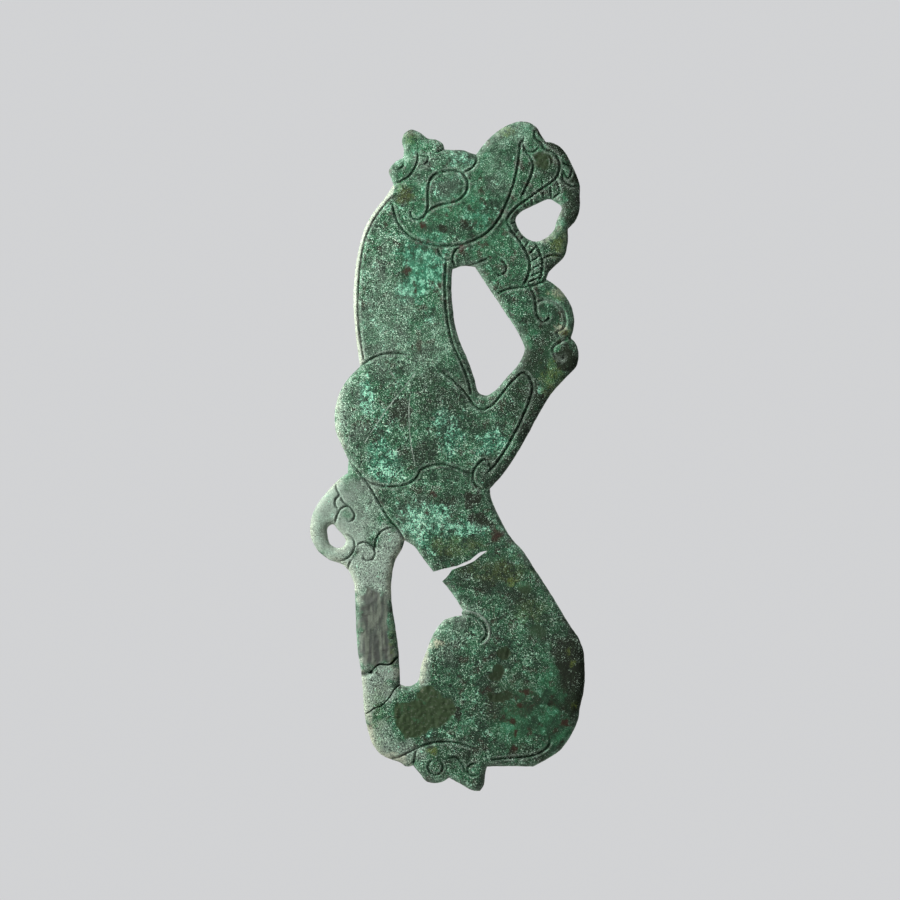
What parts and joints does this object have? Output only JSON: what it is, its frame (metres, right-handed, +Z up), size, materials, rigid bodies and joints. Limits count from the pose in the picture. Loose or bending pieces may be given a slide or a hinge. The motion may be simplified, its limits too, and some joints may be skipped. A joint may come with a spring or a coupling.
{
  "type": "bronze animal mount",
  "caption": "Flat openwork bronze mount cast as a crouching beast with its head thrown back, with a carved front, a flat back and two large gaps.",
  "frame": {"origin": "on the flat back, in the middle of the figure's height and width", "axes": "+Z up towards the head, +X to the side that the snout points to, -Y out of the carved front, +Y out of the flat back"},
  "size_m": [0.0944, 0.0032, 0.23],
  "materials": {
    "green_bronze": "bronze with a mottled green patina, matt, with darker smooth patches"
  },
  "bodies": {
    "root": {"animal_mount": "green_bronze"}
  },
  "joints": []
}
